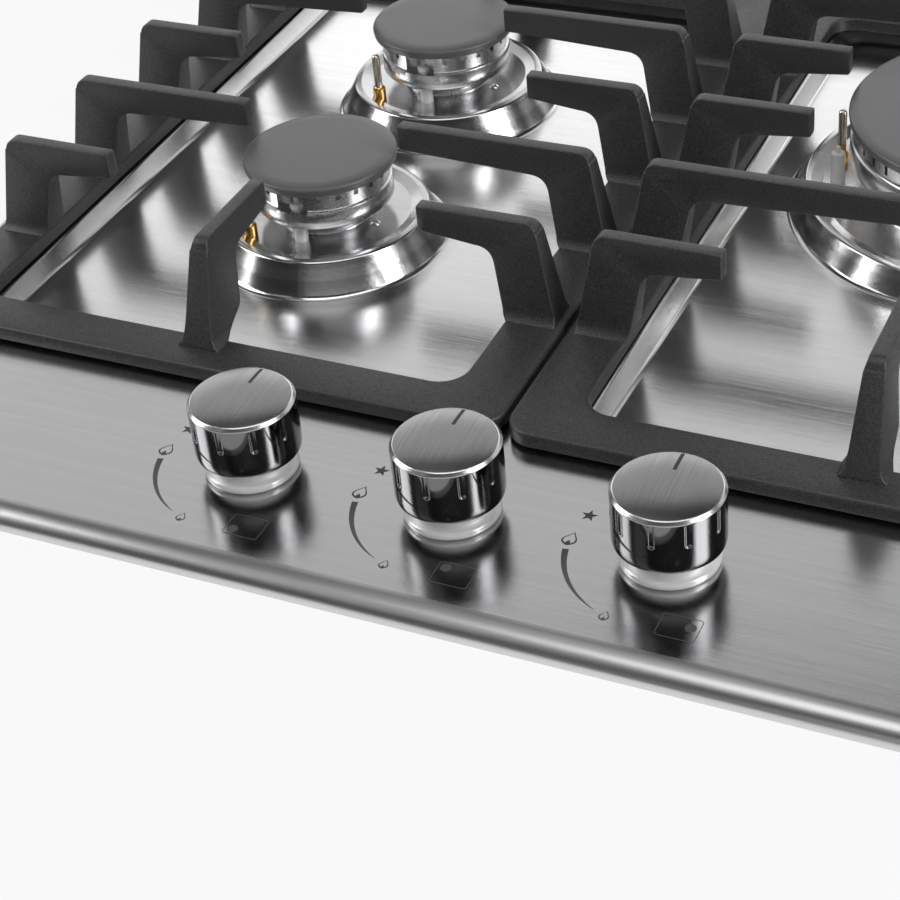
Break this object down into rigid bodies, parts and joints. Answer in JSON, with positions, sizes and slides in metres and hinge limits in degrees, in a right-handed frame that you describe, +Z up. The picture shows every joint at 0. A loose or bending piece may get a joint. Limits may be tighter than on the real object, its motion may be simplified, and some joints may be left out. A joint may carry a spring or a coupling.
{
  "type": "gas cooktop",
  "caption": "Built-in gas cooktop with a brushed steel top, cast pan supports, small burners, one large wok burner and push-and-turn knobs.",
  "frame": {"origin": "middle of the outline, at the underside of the bottom tray", "axes": "+X to the right of the user, +Y away from the user, +Z up"},
  "size_m": [0.59, 0.51, 0.1065],
  "materials": {
    "brushed_steel": "fine straight brushing along the width",
    "galvanised_steel": "matt zinc coated sheet",
    "rubber": "matt black",
    "cast_iron": "matt black enamel with a fine grain",
    "aluminium": "turned and polished",
    "enamel": "satin black enamel",
    "ceramic": "white glazed ceramic",
    "brass": "plain turned brass",
    "chrome": "polished, satin on the top face",
    "black_plastic": "moulded black"
  },
  "bodies": {
    "hob": {"bottom_tray": "galvanised_steel", "burner_cup_front_left": "aluminium", "burner_cup_rear_left": "aluminium", "burner_cup_right": "aluminium", "clamp_left_front": "galvanised_steel", "clamp_left_rear": "galvanised_steel", "clamp_right_front": "galvanised_steel", "clamp_right_rear": "galvanised_steel", "feed_tube_front_left": "aluminium", "feed_tube_rear_left": "aluminium", "feed_tube_right": "aluminium", "flame_sensor_front_left": "brass", "flame_sensor_rear_left": "brass", "flame_sensor_right": "brass", "gas_inlet": "brass", "gas_rail": "aluminium", "knob_ring_left": "chrome", "knob_ring_middle": "chrome", "knob_ring_right": "chrome", "rail_bracket_1": "galvanised_steel", "rail_bracket_2": "galvanised_steel", "spark_electrode_front_left": "ceramic", "spark_electrode_rear_left": "ceramic", "spark_electrode_right": "ceramic", "spark_module": "black_plastic", "tap_body_left": "brass", "tap_body_middle": "brass", "tap_body_right": "brass", "terminal_box": "black_plastic", "top_plate": "brushed_steel", "worktop_seal": "rubber"},
    "pan_support_left_set": {"pan_support_left": "cast_iron", "grate_foot_left_front_a": "rubber", "grate_foot_left_front_b": "rubber", "grate_foot_left_rear_a": "rubber", "grate_foot_left_rear_b": "rubber"},
    "pan_support_right_set": {"pan_support_right": "cast_iron", "grate_foot_right_front_a": "rubber", "grate_foot_right_front_b": "rubber", "grate_foot_right_rear_a": "rubber", "grate_foot_right_rear_b": "rubber"},
    "ring_front_left": {"burner_ring_front_left": "aluminium"},
    "cap_front_left": {"burner_cap_front_left": "enamel"},
    "ring_rear_left": {"burner_ring_rear_left": "aluminium"},
    "cap_rear_left": {"burner_cap_rear_left": "enamel"},
    "ring_right": {"burner_ring_right": "aluminium"},
    "cap_right_ring": {"burner_cap_right_ring": "enamel"},
    "cap_right_centre": {"burner_cap_right_centre": "enamel"},
    "rotor_left": {"tap_rotor_left": "brass"},
    "control_left": {"knob_left": "chrome", "tap_spindle_left": "galvanised_steel"},
    "rotor_middle": {"tap_rotor_middle": "brass"},
    "control_middle": {"knob_middle": "chrome", "tap_spindle_middle": "galvanised_steel"},
    "rotor_right": {"tap_rotor_right": "brass"},
    "control_right": {"knob_right": "chrome", "tap_spindle_right": "galvanised_steel"}
  },
  "joints": [
    {"name": "turn_left", "type": "hinge", "parent": "hob", "child": "rotor_left", "pos_m": [-0.086, -0.196, 0.044], "axis": [0, 0, 1], "range_deg": [0, 165]},
    {"name": "push_left", "type": "slide", "parent": "rotor_left", "child": "control_left", "axis": [0, 0, -1], "range_m": [0, 0.003], "stiffness_N_per_m": 4000, "springref_m": -0.002},
    {"name": "turn_middle", "type": "hinge", "parent": "hob", "child": "rotor_middle", "pos_m": [0, -0.196, 0.044], "axis": [0, 0, 1], "range_deg": [0, 165]},
    {"name": "push_middle", "type": "slide", "parent": "rotor_middle", "child": "control_middle", "axis": [0, 0, -1], "range_m": [0, 0.003], "stiffness_N_per_m": 4000, "springref_m": -0.002},
    {"name": "turn_right", "type": "hinge", "parent": "hob", "child": "rotor_right", "pos_m": [0.086, -0.196, 0.044], "axis": [0, 0, 1], "range_deg": [0, 165]},
    {"name": "push_right", "type": "slide", "parent": "rotor_right", "child": "control_right", "axis": [0, 0, -1], "range_m": [0, 0.003], "stiffness_N_per_m": 4000, "springref_m": -0.002},
    {"name": "lift_pan_support_left", "type": "slide", "parent": "hob", "child": "pan_support_left_set", "axis": [0, 0, 1], "range_m": [0, 0.08]},
    {"name": "lift_pan_support_right", "type": "slide", "parent": "hob", "child": "pan_support_right_set", "axis": [0, 0, 1], "range_m": [0, 0.08]},
    {"name": "lift_ring_front_left", "type": "slide", "parent": "hob", "child": "ring_front_left", "axis": [0, 0, 1], "range_m": [0, 0.03]},
    {"name": "lift_cap_front_left", "type": "slide", "parent": "ring_front_left", "child": "cap_front_left", "axis": [0, 0, 1], "range_m": [0, 0.03]},
    {"name": "lift_ring_rear_left", "type": "slide", "parent": "hob", "child": "ring_rear_left", "axis": [0, 0, 1], "range_m": [0, 0.03]},
    {"name": "lift_cap_rear_left", "type": "slide", "parent": "ring_rear_left", "child": "cap_rear_left", "axis": [0, 0, 1], "range_m": [0, 0.03]},
    {"name": "lift_ring_right", "type": "slide", "parent": "hob", "child": "ring_right", "axis": [0, 0, 1], "range_m": [0, 0.03]},
    {"name": "lift_cap_right_ring", "type": "slide", "parent": "ring_right", "child": "cap_right_ring", "axis": [0, 0, 1], "range_m": [0, 0.03]},
    {"name": "lift_cap_right_centre", "type": "slide", "parent": "ring_right", "child": "cap_right_centre", "axis": [0, 0, 1], "range_m": [0, 0.03]}
  ]
}
